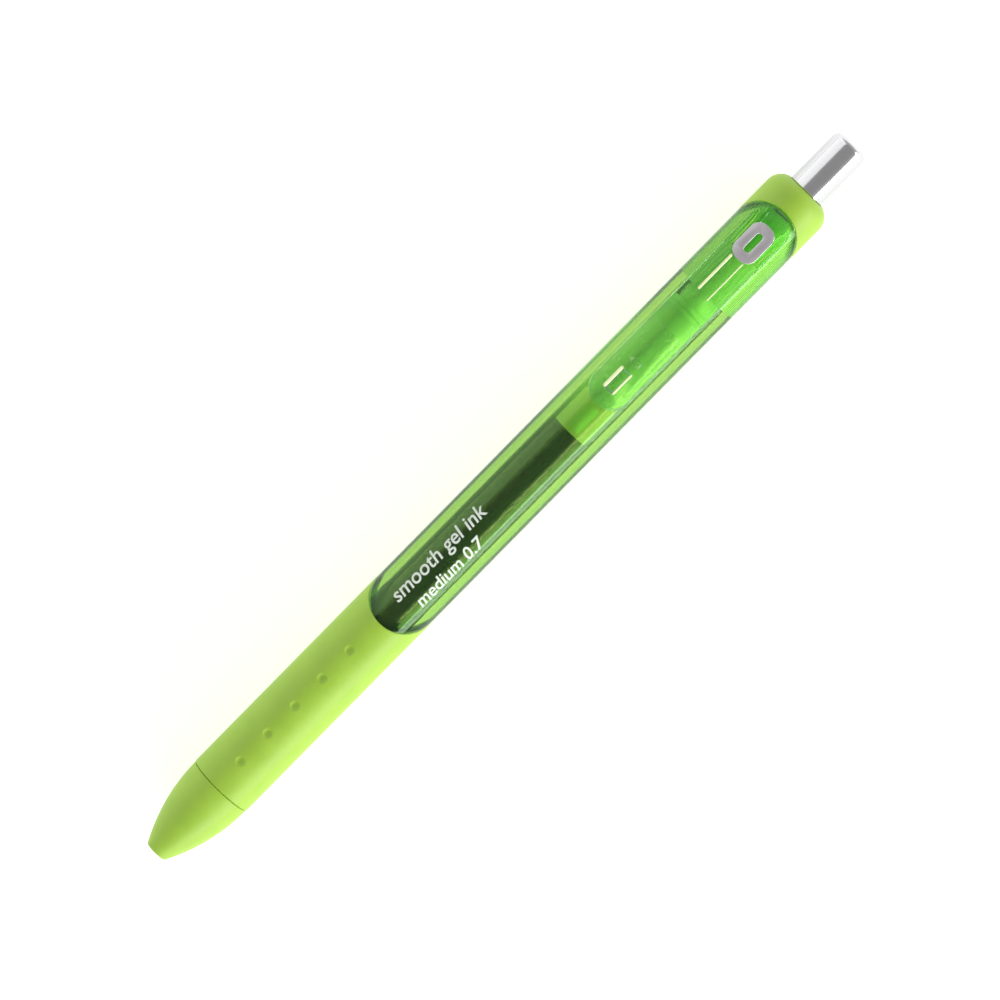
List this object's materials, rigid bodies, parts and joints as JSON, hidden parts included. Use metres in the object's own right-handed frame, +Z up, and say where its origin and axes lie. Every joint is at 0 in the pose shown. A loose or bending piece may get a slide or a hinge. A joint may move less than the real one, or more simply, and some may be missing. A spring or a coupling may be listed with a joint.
{
  "type": "gel pen",
  "caption": "Retractable gel pen with a push button, soft rubber grip, clear tinted barrel window, sprung pocket clip and a replaceable refill.",
  "frame": {"origin": "under the middle of the pen's length, on the plane it rests on", "axes": "+X along the pen towards the push button, -X towards the point, +Z up through the clip"},
  "size_m": [0.146, 0.0104, 0.0134],
  "materials": {
    "soft_rubber": "soft-touch satin, moulded",
    "clear_green_plastic": "polished, tinted clear",
    "clear_plastic": "polished clear",
    "white_plastic": "moulded acetal",
    "lime_plastic": "moulded acetal",
    "button_metal": "satin chrome",
    "badge_metal": "fine bead-blasted",
    "point_metal": "turned",
    "spring_steel": "drawn wire",
    "carbide": "polished",
    "dark_green_ink": "wet",
    "clear_grease": "wet"
  },
  "bodies": {
    "barrel": {"barrel": "clear_green_plastic", "grip_sleeve": "soft_rubber", "cam_sleeve": "lime_plastic", "return_spring": "spring_steel"},
    "nose": {"nose_skin": "soft_rubber", "nose_core": "white_plastic"},
    "button": {"button_cap": "button_metal", "plunger": "lime_plastic"},
    "refill": {"rotor": "lime_plastic", "refill_tube": "clear_plastic", "tip_holder": "white_plastic", "metal_point": "point_metal", "tip_spring": "spring_steel", "ink_column": "dark_green_ink", "ink_follower": "clear_grease", "follower_float": "clear_plastic", "end_plug": "lime_plastic"},
    "ball": {"writing_ball": "carbide"},
    "clip": {"clip": "clear_green_plastic", "clip_badge": "badge_metal"}
  },
  "joints": [
    {"name": "button_press", "type": "slide", "parent": "barrel", "child": "button", "axis": [-1, 0, 0], "range_m": [0, 0.0056], "stiffness_N_per_m": 600, "springref_m": -0.0025, "deforming": ["return_spring"]},
    {"name": "refill_slide", "type": "slide", "parent": "barrel", "child": "refill", "axis": [-1, 0, 0], "range_m": [0, 0.0056]},
    {"name": "ball_roll", "type": "hinge", "parent": "refill", "child": "ball", "pos_m": [-0.07125, 0, 0.00525], "axis": [0, 1, 0], "continuous": true},
    {"name": "clip_flex", "type": "hinge", "parent": "barrel", "child": "clip", "pos_m": [0.05865, 0, 0.0105], "axis": [0, 1, 0], "range_deg": [0, 4], "stiffness_Nm_per_rad": 1.4},
    {"name": "nose_removal", "type": "slide", "parent": "barrel", "child": "nose", "axis": [-1, 0, 0], "range_m": [0, 0.03]}
  ],
  "couplings": [
    {"joint": "refill_slide", "follows": "button_press", "ratio": 1}
  ]
}
